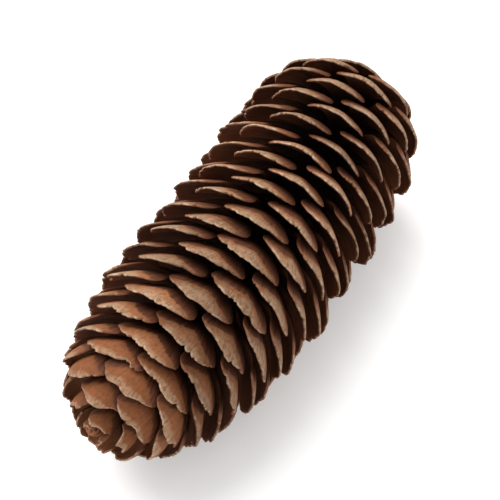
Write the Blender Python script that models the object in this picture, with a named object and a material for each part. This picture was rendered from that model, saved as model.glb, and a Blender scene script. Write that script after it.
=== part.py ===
"""A ripe spruce cone, dry and open, lying on its side.

The cone grew as one piece. A woody axis ends in a stub of stalk, and thin fan-shaped scales stand on it,
each turned by the golden angle from the one before. The scales are separate sheets at first. One Boolean
union then fuses them to the axis, and the lowest tips are pressed flat where the cone rests.

The cone points along -Y, with its stalk at +Y, and the surface it rests on is z = 0. Units are metres.
Places on the cone are given as a distance along its axis from the base (0) to the apex, a radius from the
axis, and an angle round it, counted from the top.
"""

import math

import bmesh
import bpy
from mathutils import Vector

MM = 0.001

# Size of the cone.
CONE_LENGTH = 108 * MM
CONE_RADIUS = 22 * MM
AXIS_HEIGHT = 21.1 * MM
BEND = math.radians(17)
MIDDLE_X = 0.88 * MM
MIDDLE_Y = -1.86 * MM

# The envelope of the scale tips: widest here, and how blunt it is towards the base and the apex.
WIDEST_AT = 0.34
BASE_BLUNTNESS = (4.8, 0.25)
APEX_BLUNTNESS = (4.6, 0.53)

# The axis with its stub of stalk.
STALK_LENGTH = 3 * MM
STALK_RADIUS = 2.4 * MM
AXIS_RADIUS = 4.2 * MM
BASE_FLARE = 1.6 * MM
FLARE_LENGTH = 12 * MM
BUD_RADIUS = 1.9 * MM
BUD_AT = 104.5 * MM
BUD_TOP = 107.4 * MM
BUD_RINGS = ((0.6, 0.85), (1, 0.4))
AXIS_TAPERS_FROM = 0.2
AXIS_STEPS = 4
AXIS_SIDES = 10

# The spiral of scales: how many a whole one has, and how many more crowd together at each end than an even
# spiral would have there. The last of them would lie inside the bud and aren't made.
GOLDEN_ANGLE = math.pi * (3 - math.sqrt(5))
SPIRAL_START = math.radians(-83)
WHOLE_SPIRAL = 186
BASE_CROWDING = 6
APEX_CROWDING = 14
SCALE_COUNT = WHOLE_SPIRAL - 3
FIRST_TIP = 0.1 * MM

# One scale: a claw at its root that widens to a rounded fan, cupped so that its sides turn in to the axis.
SCALE_HALF_WIDTH = 8.1 * MM
SMALLEST_HALF_WIDTH = 2.4 * MM
WIDTH_GROWS = (-0.05, 0.8)
WIDEST_HALF_ANGLE = 1.2
CLAW_SHARE = 0.14
BASE_CLAW = 0.2
FAN_WIDENS = (0.1, 0.98)
SCALE_RISE = 15 * MM
RISE_LENGTH = 14 * MM
RISE_POWER = 0.4
ROUND_TIP = 0.17
ROUND_CORNER = 0.97
CUP = 1.8 * MM
ROOT_DEPTH = 0.6
SCALE_THICKNESS = 0.8 * MM
SCALE_ROWS = ((0, (-1, 1)), (0.4, (-1, 1)), (0.75, (-1, 0, 1)), (1, (-1, -0.55, 0, 0.55, 1)))
SHARP_EDGE = math.radians(35)

# How a scale bows: the share along and outward of its steepest pull, and how far that shifts towards the
# base, towards the apex, and in the small rosette that closes over the bud.
BOW = (0.36, 0.6)
BASE_BOW = (-0.17, 0.17)
BASE_CLOSING = (0, 0.4)
APEX_BOW = (-0.06, 0.16)
APEX_CLOSING = (0.25, 0.85)
ROSETTE_BOW = (-0.05, 0.7)
ROSETTE_CLOSING = (0.9, 0.985)

# How much scales differ from each other.
TURN_SPREAD = math.radians(2)
RADIUS_SPREAD = 0.02
RISE_SPREAD = 0.02
WIDTH_SPREAD = 0.04


def spread(index, prime):
    """A number from -1 to 1 that looks random from scale to scale and is the same on each run."""
    return 2 * (index * math.sqrt(prime) % 1) - 1


def smooth_step(low, high, value):
    share = min(1, max(0, (value - low) / (high - low)))
    return share * share * (3 - 2 * share)


def place(along, radius, angle):
    """The point at this distance along the bent axis, this radius from it and this angle round it."""
    curve = BEND / CONE_LENGTH
    heading = curve * (along - CONE_LENGTH / 2)
    across = MIDDLE_X + (math.cos(heading) - 1) / curve
    centre = Vector((across, MIDDLE_Y - math.sin(heading) / curve, AXIS_HEIGHT))
    up = Vector((0, 0, 1))
    side = Vector((-math.cos(heading), math.sin(heading), 0))
    return centre + radius * (math.cos(angle) * up + math.sin(angle) * side)


def fullness(share):
    """The envelope's radius at this share of the cone's length, from 0 to 1."""
    if share < WIDEST_AT:
        power, root = BASE_BLUNTNESS
        off = (WIDEST_AT - share) / WIDEST_AT
    else:
        power, root = APEX_BLUNTNESS
        off = (share - WIDEST_AT) / (1 - WIDEST_AT)
    return max(0, 1 - min(1, off) ** power) ** root


def axis_radius(along):
    """The woody axis tapers from the base to the bud at its top, and narrows into the stalk below the base."""
    base_radius = AXIS_RADIUS + BASE_FLARE
    if along < 0:
        return STALK_RADIUS + (base_radius - STALK_RADIUS) * smooth_step(-STALK_LENGTH, 0, along)
    flare = BASE_FLARE * (1 - smooth_step(0, FLARE_LENGTH, along))
    return AXIS_RADIUS + flare + (BUD_RADIUS - AXIS_RADIUS) * smooth_step(AXIS_TAPERS_FROM, 1, along / BUD_AT)


def crowded(index):
    """How far along the spiral a scale stands, in even steps, with the scales at both ends pushed together."""
    left = WHOLE_SPIRAL - index
    from_base = BASE_CROWDING - BASE_CROWDING**2 / (index + BASE_CROWDING)
    from_apex = APEX_CROWDING**2 / (left + APEX_CROWDING) - APEX_CROWDING**2 / (WHOLE_SPIRAL + APEX_CROWDING)
    return index - from_base - from_apex


class Scale:
    """The sizes of one scale, worked out from its number on the spiral."""

    def __init__(self, index):
        done = crowded(index) / crowded(WHOLE_SPIRAL)
        self.tip_along = FIRST_TIP + (CONE_LENGTH - FIRST_TIP) * done
        share = self.tip_along / CONE_LENGTH
        full = fullness(share)
        self.angle = SPIRAL_START + index * GOLDEN_ANGLE + TURN_SPREAD * spread(index, 2)
        self.tip_radius = CONE_RADIUS * full * (1 + RADIUS_SPREAD * spread(index, 3))
        rise = SCALE_RISE * (1 - math.exp(-self.tip_along / RISE_LENGTH)) * full**RISE_POWER
        self.root_along = self.tip_along - rise * (1 + RISE_SPREAD * spread(index, 7))
        self.root_radius = ROOT_DEPTH * axis_radius(self.root_along)
        wide = SCALE_HALF_WIDTH * smooth_step(*WIDTH_GROWS, full) * (1 + WIDTH_SPREAD * spread(index, 11))
        self.half_width = max(SMALLEST_HALF_WIDTH, wide)
        near_base = 1 - smooth_step(*BASE_CLOSING, share)
        near_apex = smooth_step(*APEX_CLOSING, share)
        in_rosette = smooth_step(*ROSETTE_CLOSING, share)
        shifts = zip(BOW, BASE_BOW, APEX_BOW, ROSETTE_BOW)
        bows = [bow + near_base * low + near_apex * high + in_rosette * last for bow, low, high, last in shifts]
        self.bow_along, self.bow_out = bows
        self.claw = CLAW_SHARE + BASE_CLAW * near_base

    def point(self, across, outward):
        """A point of the scale's middle sheet: across runs from -1 to 1, outward from root to tip."""
        rounding = 1 - math.sqrt(1 - ROUND_CORNER * across * across)
        share = outward - ROUND_TIP * rounding * outward**3
        length = self.tip_along - self.root_along
        depth = self.tip_radius - self.root_radius
        bow = 2 * share * (1 - share)
        along = self.root_along + length * (bow * self.bow_along + share * share)
        radius = self.root_radius + depth * (bow * self.bow_out + share * share)
        wide = self.claw + (1 - self.claw) * smooth_step(*FAN_WIDENS, outward)
        half_angle = min(WIDEST_HALF_ANGLE, wide * self.half_width / radius)
        radius -= CUP * self.half_width / SCALE_HALF_WIDTH * (across * outward) ** 2
        return place(along, radius, self.angle + across * half_angle)


def add_object(name, bm, collection):
    """Makes an object of a bmesh, with its faces turned outward."""
    bmesh.ops.recalc_face_normals(bm, faces=bm.faces)
    mesh = bpy.data.meshes.new(name)
    bm.to_mesh(mesh)
    bm.free()
    obj = bpy.data.objects.new(name, mesh)
    collection.objects.link(obj)
    return obj


def trim_at_floor(bm):
    """Cuts off what would reach below the floor, and closes the cut with a flat face."""
    if min(v.co.z for v in bm.verts) > 0:
        return
    cut = bmesh.ops.bisect_plane(
        bm,
        geom=bm.verts[:] + bm.edges[:] + bm.faces[:],
        plane_co=(0, 0, 0),
        plane_no=(0, 0, -1),
        clear_outer=True,
    )
    rim = [item for item in cut["geom_cut"] if isinstance(item, bmesh.types.BMEdge)]
    bmesh.ops.contextual_create(bm, geom=rim)


def add_scale(index, collection):
    """One scale as a closed sheet: rows of points from the claw to the rounded tip, then a thickness."""
    scale = Scale(index)
    bm = bmesh.new()
    rows = []
    for outward, columns in SCALE_ROWS:
        rows.append([bm.verts.new(scale.point(across, outward)) for across in columns])
    root, claw, middle, tip = rows
    bm.faces.new((root[0], root[1], claw[1], claw[0]))
    bm.faces.new((claw[0], claw[1], middle[2], middle[1], middle[0]))
    bm.faces.new((middle[0], middle[1], tip[2], tip[1], tip[0]))
    bm.faces.new((middle[1], middle[2], tip[4], tip[3], tip[2]))
    bmesh.ops.triangulate(bm, faces=bm.faces)
    bm.normal_update()
    bmesh.ops.solidify(bm, geom=bm.faces[:], thickness=SCALE_THICKNESS)
    trim_at_floor(bm)
    return add_object(f"scale_{index}", bm, collection)


def add_axis(collection):
    """The woody axis, as rings of points along the bend, closed at the stalk's end and at the top."""
    bm = bmesh.new()
    stations = [-STALK_LENGTH, -STALK_LENGTH / 2]
    stations += [BUD_AT * step / AXIS_STEPS for step in range(AXIS_STEPS + 1)]
    profile = [(along, axis_radius(along)) for along in stations]
    profile += [(BUD_AT + up * (BUD_TOP - BUD_AT), wide * BUD_RADIUS) for up, wide in BUD_RINGS]
    rings = []
    for along, radius in profile:
        turns = [2 * math.pi * side / AXIS_SIDES for side in range(AXIS_SIDES)]
        rings.append([bm.verts.new(place(along, radius, turn)) for turn in turns])
    for near, far in zip(rings, rings[1:]):
        for side in range(AXIS_SIDES):
            after = (side + 1) % AXIS_SIDES
            bm.faces.new((near[side], near[after], far[after], far[side]))
    bm.faces.new(rings[0])
    bm.faces.new(rings[-1])
    return add_object("spruce_cone", bm, collection)


def fuse(obj, collection):
    """Joins all the scales to the axis with one Boolean union, applies it and removes the loose scales."""
    union = obj.modifiers.new("fuse_scales", "BOOLEAN")
    union.operation = "UNION"
    union.solver = "EXACT"
    union.operand_type = "COLLECTION"
    union.collection = collection
    graph = bpy.context.evaluated_depsgraph_get()
    obj.data = bpy.data.meshes.new_from_object(obj.evaluated_get(graph))
    obj.modifiers.clear()
    for scale in list(collection.objects):
        bpy.data.objects.remove(scale)
    bpy.data.collections.remove(collection)


def bark_brown():
    """The cone's dry, matt brown."""
    material = bpy.data.materials.new("cone_scale")
    material.use_nodes = True
    shader = material.node_tree.nodes["Principled BSDF"]
    shader.inputs["Base Color"].default_value = (0.16, 0.075, 0.038, 1)
    shader.inputs["Roughness"].default_value = 0.7
    shader.inputs["Metallic"].default_value = 0
    return material


def main():
    for obj in list(bpy.data.objects):
        bpy.data.objects.remove(obj)
    scene = bpy.context.scene.collection
    loose = bpy.data.collections.new("loose_scales")
    scene.children.link(loose)
    cone = add_axis(scene)
    for index in range(SCALE_COUNT):
        add_scale(index, loose)
    fuse(cone, loose)
    cone.data.materials.clear()
    cone.data.materials.append(bark_brown())
    cone.data.shade_smooth()
    cone.data.set_sharp_from_angle(angle=SHARP_EDGE)


main()
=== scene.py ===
"""Looks of a ripe spruce cone, dry and open, lying on its side.

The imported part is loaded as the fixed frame, and finer pieces take the place of its plain solid: every
scale as a thin fan with a ragged edge, grown by a Geometry Nodes tree along the same golden-angle spiral,
and the woody axis with its stub of stalk and the bud at its tip. The cone points along -Y and rests on
z = 0. Units are metres.
"""

import math

import bmesh
import bpy
from bpy.props import FloatProperty, FloatVectorProperty, PointerProperty
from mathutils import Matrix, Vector, noise


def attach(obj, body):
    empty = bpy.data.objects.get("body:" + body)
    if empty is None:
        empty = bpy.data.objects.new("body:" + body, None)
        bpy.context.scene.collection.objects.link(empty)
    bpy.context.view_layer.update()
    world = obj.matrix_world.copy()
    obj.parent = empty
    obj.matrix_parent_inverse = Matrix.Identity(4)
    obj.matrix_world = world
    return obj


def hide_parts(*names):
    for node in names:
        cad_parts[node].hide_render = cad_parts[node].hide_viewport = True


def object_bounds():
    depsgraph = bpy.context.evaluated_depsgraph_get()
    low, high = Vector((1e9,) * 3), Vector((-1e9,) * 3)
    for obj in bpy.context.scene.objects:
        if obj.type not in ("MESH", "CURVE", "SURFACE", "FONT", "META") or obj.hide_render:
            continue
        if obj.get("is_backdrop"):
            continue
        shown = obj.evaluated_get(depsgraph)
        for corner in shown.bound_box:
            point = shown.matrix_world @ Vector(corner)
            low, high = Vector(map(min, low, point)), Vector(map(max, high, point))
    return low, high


bl_info = {
    "name": "Spruce Cone",
    "version": (1, 0, 0),
    "blender": (4, 5, 0),
    "location": "View3D > Sidebar > Cone",
    "description": "Dresses a spruce cone with ragged scales, a woody axis and a bud",
    "category": "Add Mesh",
}

MM = 0.001

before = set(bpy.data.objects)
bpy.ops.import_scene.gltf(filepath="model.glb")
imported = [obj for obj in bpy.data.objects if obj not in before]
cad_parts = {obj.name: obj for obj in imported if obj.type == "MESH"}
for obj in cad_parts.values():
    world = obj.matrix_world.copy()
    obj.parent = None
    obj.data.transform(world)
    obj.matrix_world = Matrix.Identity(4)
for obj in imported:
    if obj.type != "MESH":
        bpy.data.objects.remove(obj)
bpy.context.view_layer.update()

# The part's own bend, envelope and spiral. They match the solid's, but for two small scales more at the apex.
BEND = math.radians(17)
MIDDLE_X = 0.88 * MM
MIDDLE_Y = -1.86 * MM
WIDEST_AT = 0.34
BASE_BLUNTNESS = (4.8, 0.25)
APEX_BLUNTNESS = (4.6, 0.53)
GOLDEN_ANGLE = math.pi * (3 - math.sqrt(5))
SPIRAL_START = math.radians(-83)
WHOLE_SPIRAL = 186
BASE_CROWDING = 6
APEX_CROWDING = 14
SCALE_COUNT = WHOLE_SPIRAL - 1
FIRST_TIP = 0.1 * MM

# The shape of a scale, from its claw at the root to its rounded tip, and how its bow shifts along the cone.
# Widths, the bow at the base, the rosette's closing and the spreads of rise and width differ from the
# solid's, to come nearer to the real cone. Turn and radius spread less than in the solid, and the cup eases
# off towards the apex, so that fewer neighbouring scales cross. The cup's power is 2 in the solid.
SMALLEST_HALF_WIDTH = 2.4 * MM
WIDTH_GROWS = (-0.25, 0.8)
WIDEST_HALF_ANGLE = 1.2
CLAW_SHARE = 0.14
BASE_CLAW = 0.2
FAN_WIDENS = (0.1, 0.98)
RISE_LENGTH = 14 * MM
RISE_POWER = 0.4
ROUND_TIP = 0.17
ROUND_CORNER = 0.97
ROOT_DEPTH = 0.6
BOW = (0.36, 0.6)
BASE_BOW = (-0.22, 0.27)
BASE_CLOSING = (0, 0.4)
APEX_BOW = (-0.06, 0.16)
APEX_CLOSING = (0.25, 0.85)
ROSETTE_BOW = (-0.05, 0.7)
ROSETTE_CLOSING = (0.885, 0.98)
TURN_SPREAD = math.radians(1.5)
RADIUS_SPREAD = 0.015
RISE_SPREAD = 0.025
WIDTH_SPREAD = 0.06
APEX_CUP_LOSS = 0.75
CUP_POWER = 1.4

# The woody axis with its broken stalk and its bud, and how many sides and steps they are turned with.
STALK_LENGTH = 3 * MM
STALK_RADIUS = 2.4 * MM
AXIS_RADIUS = 4.2 * MM
BASE_FLARE = 1.6 * MM
FLARE_LENGTH = 12 * MM
BUD_RADIUS = 1.9 * MM
BUD_AT = 104.5 * MM
BUD_TOP = 107.4 * MM
AXIS_TAPERS_FROM = 0.2
BUD_LEAVES = 5
BUD_WINDING = 0.6
BROKEN_DEPTH = 0.35 * MM
AXIS_SIDES = 72
AXIS_STEPS = 70
BUD_STEPS = 16

# The finer scale: how many steps its sheet has across, where its rows lie from root to edge, how far it keeps
# from the floor, and how far an uneven tip may pass its even curve.
STEPS_ACROSS = 48
ROWS = (0, 0.18, 0.34, 0.48, 0.6, 0.7, 0.78, 0.85, 0.9, 0.94, 0.97, 0.988)
FLOOR_GAP = 0.25 * MM
UNEVEN_LIMIT = -0.5 * MM

# How much of the warm tip's red, green and blue is left on the root side of the petals at the apex.
ORANGE_ROOT = (0.68, 0.55, 0.46)

# Dry wood and the floor hardly shine.
SHINE = 0.1

# The stage: the width that the camera takes in, the light overhead, the light from all round and the floor.
VIEW_WIDTH = 0.108
LIGHT_PLACE = (-0.4, 0.14, 0.66)
LIGHT_TARGET = (0, 0, 0.02)
LIGHT_WIDTH = 0.8
LIGHT_POWER = 8.5
LIGHT_ALL_ROUND = 0.8
FLOOR_HALF_WIDTH = 3.0
FLOOR_GLOW = 0.25


def metres(name, text, default):
    """A length that a user may change."""
    return FloatProperty(name=name, description=text, default=default, min=0, subtype="DISTANCE", precision=4)


def colour(name, text, default):
    """A colour that a user may change."""
    return FloatVectorProperty(
        name=name, description=text, default=default, size=3, min=0, max=1, subtype="COLOR"
    )


def degrees(name, text, default):
    """An angle that a user may change, given in degrees."""
    return FloatProperty(name=name, description=text, default=math.radians(default), subtype="ANGLE")


class ConeSizes(bpy.types.PropertyGroup):
    """Driving sizes of the cone."""

    length: metres("Length", "From the base of the scales to the apex, along the axis", 108 * MM)
    radius: metres("Radius", "From the axis to the widest scale tips", 22 * MM)
    axis_height: metres("Axis height", "Height of the axis over the floor", 21.1 * MM)
    scale_half_width: metres("Half width of a scale", "Of the largest scales", 8.1 * MM)
    scale_rise: metres("Rise of a scale", "How far a tip lies beyond its root along the axis", 15 * MM)
    root_thickness: metres("Thickness at the root", "Of the largest scales", 1.2 * MM)
    edge_thickness: metres("Thickness at the edge", "Of the largest scales", 0.5 * MM)
    cup: metres("Cup", "How far a scale's sides turn in towards the axis", 1.8 * MM)
    raggedness: metres("Raggedness", "Depth of the deepest nicks in a scale's edge", 1.5 * MM)
    unevenness: metres("Unevenness", "How far a scale's tip strays from an even curve", 4.5 * MM)
    waviness: metres("Waviness", "How far a scale's sheet swells and dips", 0.4 * MM)
    ridges: metres("Ridges", "Height of the fine ridges that run up a scale", 0.12 * MM)


class ConeColours(bpy.types.PropertyGroup):
    """Colours of the dry wood; the darkest one is also used as painted shade."""

    weathered: colour("Weathered tip", "The back of a scale where it stays open", (0.375, 0.228, 0.134))
    weathered_warm: colour("Warm tip", "The same, nearer to where it was covered", (0.34, 0.135, 0.058))
    covered: colour("Covered back", "The back of a scale under its neighbours", (0.088, 0.031, 0.016))
    inside: colour("Inside", "The inner face of a scale", (0.18, 0.066, 0.032))
    # Partly the dark wood near a scale's root, partly painted shade for the deep gaps between scales and for
    # the axis inside the cone.
    dark_root_and_painted_shade: colour("Depth", "Near the root of a scale", (0.014, 0.0045, 0.0025))
    # Partly the paler thin margin, partly painted highlight along the edge.
    edge: colour("Edge", "The thin margin of a scale", (0.52, 0.36, 0.25))


class ConeStage(bpy.types.PropertyGroup):
    """The stage round the cone."""

    azimuth: degrees("Azimuth", "Camera's turn round the cone", 31)
    elevation: degrees("Elevation", "Camera's height angle", 50)
    lens: FloatProperty(name="Lens", description="Focal length in millimetres", default=85, min=20)
    floor: colour("Floor", "The pale floor", (0.86, 0.86, 0.86))


class Value:
    """A number inside a node tree, written as plain arithmetic. Each sign adds a Math node."""

    def __init__(self, tree, socket):
        self.tree = tree
        self.socket = socket

    def math(self, operation, *others):
        """Adds a Math node that works on this number and any others."""
        node = self.tree.nodes.new("ShaderNodeMath")
        node.operation = operation
        for slot, value in zip(node.inputs, (self, *others)):
            feed(slot, value)
        return Value(self.tree, node.outputs[0])

    def __add__(self, other):
        return self.math("ADD", other)

    def __sub__(self, other):
        return self.math("SUBTRACT", other)

    def __mul__(self, other):
        return self.math("MULTIPLY", other)

    def __truediv__(self, other):
        return self.math("DIVIDE", other)

    def __pow__(self, other):
        return self.math("POWER", other)

    def __rsub__(self, other):
        return Value.of(self.tree, other).math("SUBTRACT", self)

    def __rtruediv__(self, other):
        return Value.of(self.tree, other).math("DIVIDE", self)

    __radd__ = __add__
    __rmul__ = __mul__

    @staticmethod
    def of(tree, number):
        """A plain number as a node of its own."""
        node = tree.nodes.new("ShaderNodeValue")
        node.outputs[0].default_value = number
        return Value(tree, node.outputs[0])

    def least(self, other):
        return self.math("MINIMUM", other)

    def most(self, other):
        return self.math("MAXIMUM", other)

    def size(self):
        return self.math("ABSOLUTE")

    def between(self, low, high, to_low=0.0, to_high=1.0):
        """Goes smoothly from one value to another while this number goes from low to high."""
        node = self.tree.nodes.new("ShaderNodeMapRange")
        node.interpolation_type = "SMOOTHSTEP"
        names = ("Value", "From Min", "From Max", "To Min", "To Max")
        for name, value in zip(names, (self, low, high, to_low, to_high)):
            feed(node.inputs[name], value)
        return Value(self.tree, node.outputs["Result"])


def feed(socket, value):
    """Links a value to a socket, or sets the socket to a plain number or colour."""
    if isinstance(value, Value):
        value.tree.links.new(value.socket, socket)
    else:
        socket.default_value = value


def join(tree, x, y, z=0.0):
    """A vector of three values."""
    node = tree.nodes.new("ShaderNodeCombineXYZ")
    for slot, value in zip(node.inputs, (x, y, z)):
        feed(slot, value)
    return Value(tree, node.outputs[0])


def cloud(tree, place, scale=1.0, detail=2.0, roughness=0.5):
    """Soft noise from 0 to 1 at a place."""
    node = tree.nodes.new("ShaderNodeTexNoise")
    feed(node.inputs["Vector"], place)
    node.inputs["Scale"].default_value = scale
    node.inputs["Detail"].default_value = detail
    node.inputs["Roughness"].default_value = roughness
    return Value(tree, node.outputs[0])


def spread(number, prime):
    """A value from -1 to 1 that looks random from scale to scale, the same one as in the solid."""
    return (number * math.sqrt(prime)).math("FRACT") * 2 - 1


class ScaleTree:
    """The Geometry Nodes tree that grows the scales of one stretch of the cone."""

    def __init__(self, material):
        self.tree = bpy.data.node_groups.new("cone_scales", "GeometryNodeTree")
        self.tree.is_modifier = True
        tree = self.tree
        tree.interface.new_socket(name="Geometry", in_out="INPUT", socket_type="NodeSocketGeometry")
        self.entry = tree.nodes.new("NodeGroupInput")
        self.numbers = {}
        points = tree.nodes.new("GeometryNodePoints")
        feed(points.inputs["Count"], self.wanted("Count", "NodeSocketInt"))
        index = Value(tree, tree.nodes.new("GeometryNodeInputIndex").outputs[0])
        cloud_of_points = self.kept(points.outputs[0], "number", index + self.wanted("First Number"))
        placed = tree.nodes.new("GeometryNodeInstanceOnPoints")
        tree.links.new(cloud_of_points, placed.inputs["Points"])
        tree.links.new(self.entry.outputs["Geometry"], placed.inputs["Instance"])
        real = tree.nodes.new("GeometryNodeRealizeInstances")
        tree.links.new(placed.outputs[0], real.inputs[0])
        grown = self.shaped(real.outputs[0])
        finish = tree.nodes.new("GeometryNodeSetMaterial")
        finish.inputs["Material"].default_value = material
        tree.links.new(grown, finish.inputs["Geometry"])
        tree.interface.new_socket(name="Geometry", in_out="OUTPUT", socket_type="NodeSocketGeometry")
        leave = tree.nodes.new("NodeGroupOutput")
        tree.links.new(finish.outputs[0], leave.inputs[0])

    def wanted(self, name, kind="NodeSocketFloat"):
        """A named input of the tree."""
        if name not in self.numbers:
            socket = self.tree.interface.new_socket(name=name, in_out="INPUT", socket_type=kind)
            self.numbers[name] = socket.identifier
        return Value(self.tree, self.entry.outputs[name])

    def kept(self, geometry, name, value):
        """Stores a value on each point under a name."""
        node = self.tree.nodes.new("GeometryNodeStoreNamedAttribute")
        node.data_type = "FLOAT"
        node.domain = "POINT"
        node.inputs["Name"].default_value = name
        feed(node.inputs["Value"], value)
        self.tree.links.new(geometry, node.inputs["Geometry"])
        return node.outputs[0]

    def named(self, name):
        """Reads a value that is stored under a name."""
        node = self.tree.nodes.new("GeometryNodeInputNamedAttribute")
        node.data_type = "FLOAT"
        node.inputs["Name"].default_value = name
        return Value(self.tree, node.outputs["Attribute"])

    def fullness(self, share):
        """The envelope's radius at this share of the cone's length, from 0 to 1."""
        power, root = BASE_BLUNTNESS
        below = ((WIDEST_AT - share) / WIDEST_AT).most(0).least(1)
        base = (1 - below**power).most(0) ** root
        power, root = APEX_BLUNTNESS
        above = ((share - WIDEST_AT) / (1 - WIDEST_AT)).most(0).least(1)
        return base * (1 - above**power).most(0) ** root

    def crowded(self, number):
        """How far along the spiral a scale stands, in even steps, with both ends' scales pushed together."""
        whole = self.wanted("Whole Spiral")
        from_base = BASE_CROWDING - BASE_CROWDING**2 / (number + BASE_CROWDING)
        still_ahead = APEX_CROWDING**2 / (whole - number + APEX_CROWDING)
        from_apex = still_ahead - APEX_CROWDING**2 / (whole + APEX_CROWDING)
        return number - from_base - from_apex

    def shaped(self, geometry):
        """Moves every point of every scale to its place, from its share across and outward."""
        tree = self.tree
        number = self.named("number")
        across = self.named("across")
        outward = self.named("outward")
        side = self.named("side")
        length = self.wanted("Length")
        whole_spiral = self.wanted("Whole Spiral")

        done = self.crowded(number) / self.crowded(whole_spiral)
        tip_along = FIRST_TIP + (length - FIRST_TIP) * done
        up_cone = tip_along / length
        full = self.fullness(up_cone)
        turn = number * GOLDEN_ANGLE + SPIRAL_START + spread(number, 2) * TURN_SPREAD
        tip_radius = self.wanted("Radius") * full * (1 + spread(number, 3) * RADIUS_SPREAD)
        risen = 1 - (tip_along / -RISE_LENGTH).math("EXPONENT")
        rise = self.wanted("Scale Rise") * risen * full**RISE_POWER
        root_along = tip_along - rise * (1 + spread(number, 7) * RISE_SPREAD)
        narrowing = root_along.between(AXIS_TAPERS_FROM * BUD_AT, BUD_AT, 0.0, BUD_RADIUS - AXIS_RADIUS)
        wood = root_along.between(0.0, FLARE_LENGTH, BASE_FLARE, 0.0) + AXIS_RADIUS + narrowing
        root_radius = root_along.between(-STALK_LENGTH, 0.0, STALK_RADIUS, wood) * ROOT_DEPTH
        varied = 1 + spread(number, 11) * WIDTH_SPREAD
        wide = self.wanted("Half Width") * full.between(*WIDTH_GROWS) * varied
        half_width = wide.most(SMALLEST_HALF_WIDTH)
        small = (half_width / self.wanted("Half Width")).least(1)

        near_base = 1 - up_cone.between(*BASE_CLOSING)
        near_apex = up_cone.between(*APEX_CLOSING)
        in_rosette = up_cone.between(*ROSETTE_CLOSING)
        shifts = zip(BOW, BASE_BOW, APEX_BOW, ROSETTE_BOW)
        bow_along, bow_out = (
            bow + near_base * low + near_apex * high + in_rosette * last
            for bow, low, high, last in shifts
        )
        claw = CLAW_SHARE + near_base * BASE_CLAW

        nicks = cloud(tree, join(tree, across * 2.4, number * 7.31), detail=2.0, roughness=0.6)
        teeth = cloud(tree, join(tree, across * small * 13, number * 3.17), detail=2.0, roughness=0.6)
        toothed = 0.12 + nicks.between(0.4, 0.6) * 0.3
        depth_of_nick = nicks.between(0.45, 0.75) * 0.7 + teeth.between(0.46, 0.66) * toothed
        ragged = self.wanted("Raggedness") * depth_of_nick * (0.4 + small * 0.6) * (1 - in_rosette * 0.7)
        rounding = 1 - (1 - across * across * ROUND_CORNER).math("SQRT")
        stray = cloud(tree, join(tree, across * 1.1, number * 5.7), detail=1.0) - 0.5
        uneven = (stray * self.wanted("Unevenness")).most(UNEVEN_LIMIT)
        reach = rise.math("MULTIPLY", rise) + (tip_radius - root_radius) * (tip_radius - root_radius)
        scale_length = reach.math("SQRT")
        margin = rounding * ROUND_TIP * outward**3 + (ragged + uneven) / scale_length * outward**9
        share = outward - margin
        fanned = claw + (1 - claw) * outward.between(*FAN_WIDENS)
        bow = share * (1 - share) * 2
        spine_radius = root_radius + (tip_radius - root_radius) * (bow * bow_out + share * share)
        half_angle = (fanned * half_width / spine_radius).least(WIDEST_HALF_ANGLE)
        angle = turn + across * half_angle

        clear = (self.wanted("Axis Height") - FLOOR_GAP) / (0 - angle.math("COSINE")).most(0.4)
        tip_radius = tip_radius.math("SMOOTH_MIN", clear, 0.4 * MM)
        advance = tip_along - root_along
        depth = tip_radius - root_radius
        along = root_along + advance * (bow * bow_along + share * share)
        eased = 1 - near_apex * APEX_CUP_LOSS
        cupped = self.wanted("Cup") * small * eased * (across * outward).size() ** CUP_POWER
        radius = root_radius + depth * (bow * bow_out + share * share) - cupped
        slope_along = advance * ((2 - share * 4) * bow_along + share * 2)
        slope_out = depth * ((2 - share * 4) * bow_out + share * 2)
        steep = (slope_along * slope_along + slope_out * slope_out).math("SQRT")

        thinning = outward.between(0, 1, self.wanted("Root Thickness"), self.wanted("Edge Thickness"))
        thick = thinning * (0.55 + small * 0.45)
        thin_side = (1 - across**12).most(0).math("SQRT")
        swell = cloud(tree, join(tree, across * 1.3, outward * 1.7, number * 3.7), detail=1.5) - 0.5
        ridges = cloud(tree, join(tree, across * small * 11, outward * 0.9, number * 5.3), detail=2.0) - 0.5
        lift = side * thick * 0.5 * thin_side + swell * 2 * self.wanted("Waviness") * outward * outward
        lift = lift + ridges * 2 * self.wanted("Ridges") * side.most(0) * outward * thin_side
        along = along - lift * slope_out / steep
        radius = radius + lift * slope_along / steep

        curve = BEND / length
        heading = (along - length / 2) * curve
        cos_h = heading.math("COSINE")
        sin_h = heading.math("SINE")
        off = radius * angle.math("SINE")
        x = MIDDLE_X + (cos_h - 1) / curve - off * cos_h
        y = MIDDLE_Y - sin_h / curve + off * sin_h
        z = self.wanted("Axis Height") + radius * angle.math("COSINE")

        geometry = self.kept(geometry, "from_edge", (1 - outward) * steep)
        geometry = self.kept(geometry, "up_cone", up_cone)
        geometry = self.kept(geometry, "size", small)
        moved = tree.nodes.new("GeometryNodeSetPosition")
        tree.links.new(geometry, moved.inputs["Geometry"])
        feed(moved.inputs["Position"], join(tree, x, y, z))
        return moved.outputs[0]


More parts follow.
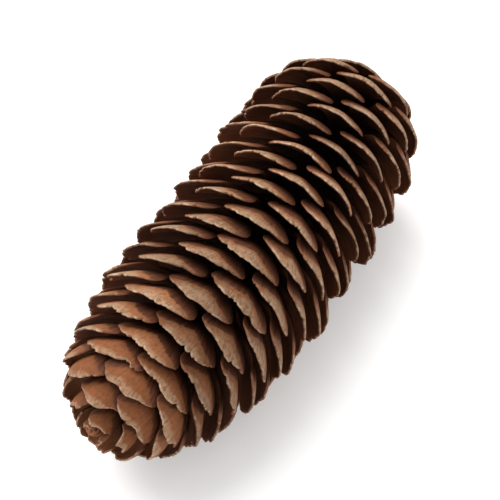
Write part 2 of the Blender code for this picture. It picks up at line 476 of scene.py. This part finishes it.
def scale_sheet():
    """One scale as a flat closed sheet, whose points know their share across and outward and their side."""
    bm = bmesh.new()
    across = bm.verts.layers.float.new("across")
    outward = bm.verts.layers.float.new("outward")
    side = bm.verts.layers.float.new("side")
    turns = [2 * step / STEPS_ACROSS - 1 for step in range(STEPS_ACROSS + 1)]
    columns = [0.5 * turn + 0.5 * math.sin(math.pi / 2 * turn) for turn in turns]

    def point(u, v, w):
        vert = bm.verts.new((u, v, w))
        vert[across] = u
        vert[outward] = v
        vert[side] = w
        return vert

    loops = []
    for v in ROWS:
        front = [point(u, v, 1) for u in columns[1:-1]]
        back = [point(u, v, -1) for u in reversed(columns[1:-1])]
        loops.append([point(columns[0], v, 0), *front, point(columns[-1], v, 0), *back])
    for near, far in zip(loops, loops[1:]):
        for step in range(len(near)):
            after = (step + 1) % len(near)
            bm.faces.new((near[step], near[after], far[after], far[step]))
    bm.faces.new(loops[0])
    rim = [point(u, 1, 0) for u in columns]
    last = loops[-1]
    for step in range(STEPS_ACROSS):
        bm.faces.new((last[step], last[step + 1], rim[step + 1], rim[step]))
        under = (-step) % len(last)
        bm.faces.new((last[under - 1], last[under], rim[step], rim[step + 1]))
    mesh = bpy.data.meshes.new("scale_sheet")
    bm.to_mesh(mesh)
    bm.free()
    return mesh


def link_object(name, mesh):
    """Adds a mesh to the scene as an object."""
    obj = bpy.data.objects.new(name, mesh)
    bpy.context.scene.collection.objects.link(obj)
    return obj


def grow_scales(name, first, count, material):
    """Grows some scales along the spiral and returns them as one plain mesh object."""
    sizes = bpy.context.scene.cone_sizes
    grower = ScaleTree(material)
    obj = link_object(name, scale_sheet())
    modifier = obj.modifiers.new("grow", "NODES")
    modifier.node_group = grower.tree
    given = {
        "Count": count,
        "First Number": float(first),
        "Whole Spiral": float(WHOLE_SPIRAL),
        "Length": sizes.length,
        "Radius": sizes.radius,
        "Axis Height": sizes.axis_height,
        "Half Width": sizes.scale_half_width,
        "Scale Rise": sizes.scale_rise,
        "Root Thickness": sizes.root_thickness,
        "Edge Thickness": sizes.edge_thickness,
        "Cup": sizes.cup,
        "Raggedness": sizes.raggedness,
        "Unevenness": sizes.unevenness,
        "Waviness": sizes.waviness,
        "Ridges": sizes.ridges,
    }
    for title, identifier in grower.numbers.items():
        modifier[identifier] = given[title]
    graph = bpy.context.evaluated_depsgraph_get()
    mesh = bpy.data.meshes.new_from_object(obj.evaluated_get(graph))
    obj.modifiers.clear()
    obj.data = mesh
    turn_outward(mesh)
    mesh.shade_smooth()
    mesh.set_sharp_from_angle(angle=math.radians(50))
    return obj


def turn_outward(mesh):
    """Makes all faces of a mesh look outwards."""
    bm = bmesh.new()
    bm.from_mesh(mesh)
    bmesh.ops.recalc_face_normals(bm, faces=bm.faces)
    bm.to_mesh(mesh)
    bm.free()


def toned(tint, share):
    """A colour made darker or lighter by a share."""
    return tuple(share * part for part in tint)


class Paint:
    """Short words for building a material's nodes."""

    def __init__(self, name):
        self.material = bpy.data.materials.new(name)
        self.material.use_nodes = True
        self.tree = self.material.node_tree
        self.shader = self.tree.nodes["Principled BSDF"]

    def named(self, name):
        """Reads a value that is stored under a name."""
        node = self.tree.nodes.new("ShaderNodeAttribute")
        node.attribute_name = name
        return Value(self.tree, node.outputs["Fac"])

    def place(self):
        """The place on the object."""
        node = self.tree.nodes.new("ShaderNodeTexCoord")
        return Value(self.tree, node.outputs["Object"])

    def mix(self, share, low, high):
        """A colour between two colours."""
        node = self.tree.nodes.new("ShaderNodeMix")
        node.data_type = "RGBA"
        feed(node.inputs[0], share)
        for slot, value in ((node.inputs[6], low), (node.inputs[7], high)):
            feed(slot, value if isinstance(value, Value) else (*value, 1))
        return Value(self.tree, node.outputs[2])

    def set(self, name, value):
        """Feeds one of the shader's inputs."""
        feed(self.shader.inputs[name], value)

    def raised(self, height, distance, strength=1.0):
        """Gives the shader small relief from a height of 0 to 1."""
        node = self.tree.nodes.new("ShaderNodeBump")
        node.inputs["Strength"].default_value = strength
        node.inputs["Distance"].default_value = distance
        feed(node.inputs["Height"], height)
        self.tree.links.new(node.outputs[0], self.shader.inputs["Normal"])


def dry_scale():
    """Scales: weathered tan where the closed cone showed them, red-brown where they were covered, and darker
    towards their roots with painted shade.
    """
    colours = bpy.context.scene.cone_colours
    paint = Paint("dry_scale")
    tree = paint.tree
    across = paint.named("across")
    outward = paint.named("outward")
    side = paint.named("side")
    number = paint.named("number")
    from_edge = paint.named("from_edge")
    up_cone = paint.named("up_cone")
    size = paint.named("size")

    streak_place = join(tree, across * 9, outward * 1.4, number * 1.7)
    streaks = cloud(tree, streak_place, scale=1.6, detail=5.0, roughness=0.6)
    fine_place = join(tree, across * 34, outward * 3.2, number * 2.3)
    fibres = cloud(tree, fine_place, scale=1.6, detail=3.0, roughness=0.6)
    blotches = cloud(tree, join(tree, across * 1.7, outward * 2.6, number * 4.1), scale=1.5, detail=3.0)
    mottle_place = join(tree, across * size * 14, outward * 15, number * 3.3)
    mottling = cloud(tree, mottle_place, detail=4.0, roughness=0.7)
    tone = spread(number, 13)
    warmth = spread(number, 17)

    tent = (1 - across.size() / 0.95).most(0) ** 0.75
    open_depth = tent * (0.4 + size * 0.6) * up_cone.between(0.45, 0.85, 4.6 * MM, 6.5 * MM)
    uneven = (streaks - 0.5) * 2.2 * MM + (blotches - 0.5) * 2.4 * MM
    open_for = open_depth - from_edge + uneven
    in_open = open_for.between(-0.3 * MM, 0.5 * MM)
    flank = across.size().between(0.35, 0.95)
    whole_pale = up_cone.between(0.35, 0.75, 2.2 * MM, 3.6 * MM)
    from_tip = from_edge.between(0.3 * MM, size * 3.4 * MM, 0.35, -0.75)
    pale = open_for.between(0.2 * MM, whole_pale) + up_cone.between(0.72, 0.92) * (from_tip - 0.4)
    pale = (pale + (blotches - 0.5) * 0.9 + warmth * 0.22).between(0.1, 0.85)
    dull = tuple((a + b) / 2.6 for a, b in zip(colours.weathered, colours.weathered_warm))
    dullness = (mottling * 0.5 + blotches * 0.5 - warmth * 0.12).between(0.38, 0.6)
    dullness = dullness * up_cone.between(0.7, 0.9, 1.0, 0.1)
    orange = paint.mix(dullness, colours.weathered_warm[:], dull)
    tan = paint.mix(pale, orange, colours.weathered[:])
    root_side = up_cone.between(0.8, 0.96, 0.0, 0.8) * (1 - pale * 0.85)
    tan = paint.mix(root_side, tan, tuple(c * k for c, k in zip(colours.weathered_warm, ORANGE_ROOT)))
    tan = paint.mix(streaks.between(0.5, 0.72, 0.0, 0.6), tan, toned(colours.weathered_warm, 0.4))
    tan = paint.mix(mottling.between(0.42, 0.68, 0.0, 0.7), tan, toned(colours.weathered_warm, 0.45))
    tan = paint.mix(flank * 0.45, tan, toned(colours.weathered_warm, 0.4))
    grain = streaks * 0.6 + fibres * 0.4
    covered = paint.mix(grain.between(0.35, 0.65), toned(colours.covered, 0.6), toned(colours.covered, 1.7))
    # Painted shade: the covered back darkens where it runs deep under the next scale, less so at the flanks.
    painted_gap_shade = open_for.between(-0.6 * MM, -4 * MM, 0.0, 0.7) * (1 - flank * 0.8)
    covered = paint.mix(painted_gap_shade, covered, colours.dark_root_and_painted_shade[:])
    covered = paint.mix(up_cone.between(0.3, 0.8, 0.5, 0.1), covered, toned(colours.inside, 1.2))
    back = paint.mix(in_open, covered, tan)

    wing = ((across.size() - 0.42) / 0.34) ** 2 + ((outward - 0.66) / 0.4) ** 2
    in_wing = wing.between(1.15, 0.75)
    wing_edge = in_wing * (1 - in_wing) * 4
    lit = (fibres * 0.4 + blotches * 0.4 + flank * 0.4).between(0.3, 0.75)
    inner = paint.mix(lit, toned(colours.inside, 0.6), toned(colours.inside, 1.7))
    inner = paint.mix(up_cone.between(0.88, 0.98), inner, toned(colours.weathered_warm, 0.75))
    inner = paint.mix(in_wing * 0.35, inner, toned(colours.inside, 1.35))
    inner = paint.mix(wing_edge * 0.5, inner, colours.covered[:])

    skin = paint.mix(side.between(-0.4, 0.4), inner, back)
    # The paler thin margin along a scale's edge, frayed, and partly a painted highlight along it.
    frayed = cloud(tree, join(tree, across * 5, number * 2.9), scale=1.0, detail=3.0, roughness=0.65)
    margin = from_edge.between(0.1 * MM, 0.55 * MM, 1.0, 0.0) * across.size().between(0.6, 0.92, 1.0, 0.1)
    skin = paint.mix(margin * frayed.between(0.42, 0.6) * (0.5 + fibres * 0.5), skin, colours.edge[:])
    # Painted shade: each scale darkens towards its root, deep in the gaps between scales, partly also the
    # darker wood there.
    shade = outward.between(0.22, 0.75) * (0.84 + tone * 0.16)
    skin = paint.mix(1 - shade, skin, colours.dark_root_and_painted_shade[:])
    paint.set("Base Color", skin)
    paint.set("Roughness", 0.6 + in_open * side.between(-0.4, 0.4) * 0.12 + (fibres - 0.5) * 0.2)
    paint.shader.inputs["Specular IOR Level"].default_value = SHINE
    paint.raised(streaks * 0.6 + fibres * 0.4, 0.22 * MM, 0.55)
    return paint.material


def dry_wood():
    """The axis, the broken stalk and the bud: rough brown bark with a paler broken end, and painted shade on
    the axis inside the cone.
    """
    colours = bpy.context.scene.cone_colours
    paint = Paint("dry_wood")
    place = paint.place()
    coarse = cloud(paint.tree, place, scale=700.0, detail=4.0)
    fine = cloud(paint.tree, place, scale=2600.0, detail=3.0)
    bud = paint.named("bud")
    broken = paint.named("broken")
    bark = paint.mix(coarse.between(0.35, 0.65), toned(colours.covered, 0.7), toned(colours.inside, 0.8))
    leaf = paint.mix(fine.between(0.35, 0.75), colours.weathered_warm[:], colours.inside[:])
    bark = paint.mix(bud.between(0.1, 0.9), bark, leaf)
    # Painted shade on the axis inside the cone.
    bark = paint.mix(paint.named("painted_shade_inside"), bark, colours.dark_root_and_painted_shade[:])
    bark = paint.mix(broken, bark, paint.mix(fine.between(0.3, 0.7), (0.2, 0.11, 0.06), (0.46, 0.33, 0.21)))
    paint.set("Base Color", bark)
    paint.shader.inputs["Roughness"].default_value = 0.8
    paint.shader.inputs["Specular IOR Level"].default_value = SHINE
    paint.raised(coarse * 0.6 + fine * 0.4, 0.25 * MM, 0.6)
    return paint.material


def pale_floor():
    """A matt pale floor."""
    paint = Paint("pale_floor")
    paint.shader.inputs["Emission Color"].default_value = (1, 1, 1, 1)
    paint.shader.inputs["Emission Strength"].default_value = FLOOR_GLOW
    paint.shader.inputs["Base Color"].default_value = (*bpy.context.scene.cone_stage.floor, 1)
    paint.shader.inputs["Roughness"].default_value = 0.9
    paint.shader.inputs["Specular IOR Level"].default_value = SHINE
    return paint.material


def on_axis(along, radius, angle):
    """The point at this distance along the bent axis, this radius from it and this angle round it."""
    sizes = bpy.context.scene.cone_sizes
    curve = BEND / sizes.length
    heading = curve * (along - sizes.length / 2)
    centre_x = MIDDLE_X + (math.cos(heading) - 1) / curve
    centre = Vector((centre_x, MIDDLE_Y - math.sin(heading) / curve, sizes.axis_height))
    aside = Vector((-math.cos(heading), math.sin(heading), 0))
    return centre + radius * (math.cos(angle) * Vector((0, 0, 1)) + math.sin(angle) * aside)


def smooth_step(low, high, value):
    """A share that goes smoothly from 0 to 1 while the value goes from low to high."""
    share = min(1, max(0, (value - low) / (high - low)))
    return share * share * (3 - 2 * share)


def axis_profile():
    """Places and radii along the axis, from the middle of the broken end to the middle of the bud's tip."""
    start = -STALK_LENGTH
    profile = [(start + BROKEN_DEPTH, share * STALK_RADIUS, "broken") for share in (0.25, 0.5, 0.75)]
    profile += [(start, 0.97 * STALK_RADIUS, "broken"), (start + 0.25 * MM, 1.04 * STALK_RADIUS, "bark")]
    for step in range(1, AXIS_STEPS):
        along = start + (BUD_AT - start) * step / AXIS_STEPS
        if along < 0:
            radius = STALK_RADIUS + (AXIS_RADIUS + BASE_FLARE - STALK_RADIUS) * smooth_step(start, 0, along)
        else:
            flare = BASE_FLARE * (1 - smooth_step(0, FLARE_LENGTH, along))
            taper = (BUD_RADIUS - AXIS_RADIUS) * smooth_step(AXIS_TAPERS_FROM, 1, along / BUD_AT)
            radius = AXIS_RADIUS + flare + taper
        profile.append((along, radius, "bark"))
    for step in range(BUD_STEPS):
        turn = math.pi / 2 * step / BUD_STEPS
        profile.append((BUD_AT + (BUD_TOP - BUD_AT) * math.sin(turn), BUD_RADIUS * math.cos(turn), "bud"))
    return profile


def seam(along, angle):
    """How close a point of the bud is to the seam between two of its folded leaves, which wind round it."""
    leaf = (BUD_LEAVES * angle / (2 * math.pi) + BUD_WINDING * (along - BUD_AT) / (BUD_TOP - BUD_AT)) % 1
    return max(0, 1 - min(leaf * 2.2, (1 - leaf) * 7))


def grow_axis(material):
    """The woody axis, turned round its bend, with the stalk's broken end and a bud of a few folds."""
    bm = bmesh.new()
    bud = bm.verts.layers.float.new("bud")
    broken = bm.verts.layers.float.new("broken")
    painted_shade_inside = bm.verts.layers.float.new("painted_shade_inside")

    def point(along, radius, angle, kind):
        rough = noise.noise(Vector((along / MM * 0.9, 1.3 * math.cos(angle) * 2, 1.3 * math.sin(angle) * 2)))
        if kind == "broken":
            along += 0.45 * MM * rough
        elif kind == "bark":
            ribs = noise.noise(Vector((along / MM * 0.25, 7 * math.cos(angle), 7 * math.sin(angle))))
            radius *= 1 + 0.06 * rough + 0.07 * ribs
        else:
            radius *= 1.06 - 0.34 * seam(along, angle) * min(1, radius / BUD_RADIUS)
        vert = bm.verts.new(on_axis(along, radius, angle))
        vert[bud] = 1.0 - 0.85 * seam(along, angle) if kind == "bud" else 0.0
        vert[broken] = 1.0 if kind == "broken" else 0.0
        # Painted shade: the bark darkens past the flare, where the axis sits inside the cone among the
        # scales.
        vert[painted_shade_inside] = smooth_step(2 * MM, 6 * MM, along) if kind == "bark" else 0.0
        return vert

    angles = [2 * math.pi * step / AXIS_SIDES for step in range(AXIS_SIDES)]
    rings = []
    for along, radius, kind in axis_profile():
        rings.append([point(along, radius, angle, kind) for angle in angles])
    for near, far in zip(rings, rings[1:]):
        for step in range(AXIS_SIDES):
            after = (step + 1) % AXIS_SIDES
            bm.faces.new((near[step], near[after], far[after], far[step]))
    first = point(-STALK_LENGTH + BROKEN_DEPTH, 0, 0, "broken")
    last = point(BUD_TOP, 0, 0, "bud")
    for step in range(AXIS_SIDES):
        after = (step + 1) % AXIS_SIDES
        bm.faces.new((rings[0][after], rings[0][step], first))
        bm.faces.new((rings[-1][step], rings[-1][after], last))
    bmesh.ops.recalc_face_normals(bm, faces=bm.faces)
    mesh = bpy.data.meshes.new("cone_axis")
    bm.to_mesh(mesh)
    bm.free()
    mesh.materials.append(material)
    mesh.shade_smooth()
    return link_object("cone_axis", mesh)


class CONE_OT_scales(bpy.types.Operator):
    """Grow the scales, in three stretches of the cone"""

    bl_idname = "cone.scales"
    bl_label = "Scales"

    def execute(self, context):
        material = dry_scale()
        stretches = ("base_scales", "middle_scales", "apex_scales")
        marks = [round(SCALE_COUNT * step / len(stretches)) for step in range(len(stretches) + 1)]
        for name, first, end in zip(stretches, marks, marks[1:]):
            scales = grow_scales(name, first, end - first, material)
            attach(scales, "root")
            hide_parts("spruce_cone")
        return {"FINISHED"}


class CONE_OT_axis(bpy.types.Operator):
    """Turn the woody axis with its stub of stalk and its bud"""

    bl_idname = "cone.axis"
    bl_label = "Axis"

    def execute(self, context):
        axis = grow_axis(dry_wood())
        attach(axis, "root")
        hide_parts("spruce_cone")
        return {"FINISHED"}


def add_light(name, place, target, width, power):
    """A soft square light that faces a target."""
    light = bpy.data.lights.new(name, "AREA")
    light.shape = "SQUARE"
    light.size = width
    light.energy = power
    lamp = bpy.data.objects.new(name, light)
    lamp.location = place
    lamp.rotation_euler = (Vector(target) - Vector(place)).to_track_quat("-Z", "Y").to_euler()
    bpy.context.scene.collection.objects.link(lamp)


def add_floor():
    """A wide pale floor under the cone."""
    signs = ((-1, -1), (1, -1), (1, 1), (-1, 1))
    corners = [(x * FLOOR_HALF_WIDTH, y * FLOOR_HALF_WIDTH, 0) for x, y in signs]
    mesh = bpy.data.meshes.new("floor")
    mesh.from_pydata(corners, [], [(0, 1, 2, 3)])
    mesh.materials.append(pale_floor())
    floor = link_object("floor", mesh)
    floor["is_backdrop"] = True


def add_camera():
    """The camera, at the photograph's angle, with the cone filling most of the frame."""
    stage = bpy.context.scene.cone_stage
    low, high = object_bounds()
    middle = (Vector(low) + Vector(high)) / 2
    turn, lift = stage.azimuth, stage.elevation
    back = Vector((math.sin(turn) * math.cos(lift), -math.cos(turn) * math.cos(lift), math.sin(lift)))
    camera = bpy.data.cameras.new("camera")
    camera.lens = stage.lens
    camera.clip_start = 0.01
    eye = bpy.data.objects.new("camera", camera)
    eye.location = middle + back * VIEW_WIDTH * stage.lens / camera.sensor_width
    eye.rotation_euler = back.to_track_quat("Z", "Y").to_euler()
    bpy.context.scene.collection.objects.link(eye)
    bpy.context.scene.camera = eye


class CONE_OT_stage(bpy.types.Operator):
    """Set the floor, the soft lights and the camera"""

    bl_idname = "cone.stage"
    bl_label = "Stage"

    def execute(self, context):
        add_floor()
        add_light("overhead", LIGHT_PLACE, LIGHT_TARGET, LIGHT_WIDTH, LIGHT_POWER)
        world = bpy.data.worlds.new("studio")
        world.use_nodes = True
        world.node_tree.nodes["Background"].inputs["Color"].default_value = (1, 1, 1, 1)
        world.node_tree.nodes["Background"].inputs["Strength"].default_value = LIGHT_ALL_ROUND
        context.scene.world = world
        context.scene.view_settings.view_transform = "Standard"
        add_camera()
        return {"FINISHED"}


class CONE_PT_panel(bpy.types.Panel):
    """Lists the steps that make the cone"""

    bl_label = "Spruce Cone"
    bl_idname = "CONE_PT_panel"
    bl_space_type = "VIEW_3D"
    bl_region_type = "UI"
    bl_category = "Cone"

    def draw(self, context):
        layout = self.layout
        for step in STEPS:
            layout.operator(step)
        for group in (context.scene.cone_sizes, context.scene.cone_colours, context.scene.cone_stage):
            for name in group.__annotations__:
                layout.prop(group, name)


STEPS = ("cone.scales", "cone.axis", "cone.stage")
CLASSES = (ConeSizes, ConeColours, ConeStage, CONE_OT_scales, CONE_OT_axis, CONE_OT_stage, CONE_PT_panel)


def register():
    for entry in CLASSES:
        bpy.utils.register_class(entry)
    bpy.types.Scene.cone_sizes = PointerProperty(type=ConeSizes)
    bpy.types.Scene.cone_colours = PointerProperty(type=ConeColours)
    bpy.types.Scene.cone_stage = PointerProperty(type=ConeStage)


def unregister():
    del bpy.types.Scene.cone_stage
    del bpy.types.Scene.cone_colours
    del bpy.types.Scene.cone_sizes
    for entry in reversed(CLASSES):
        bpy.utils.unregister_class(entry)


def main():
    """Builds the cone and its stage."""
    register()
    bpy.ops.cone.scales()
    bpy.ops.cone.axis()
    bpy.ops.cone.stage()


if __name__ == "__main__":
    main()
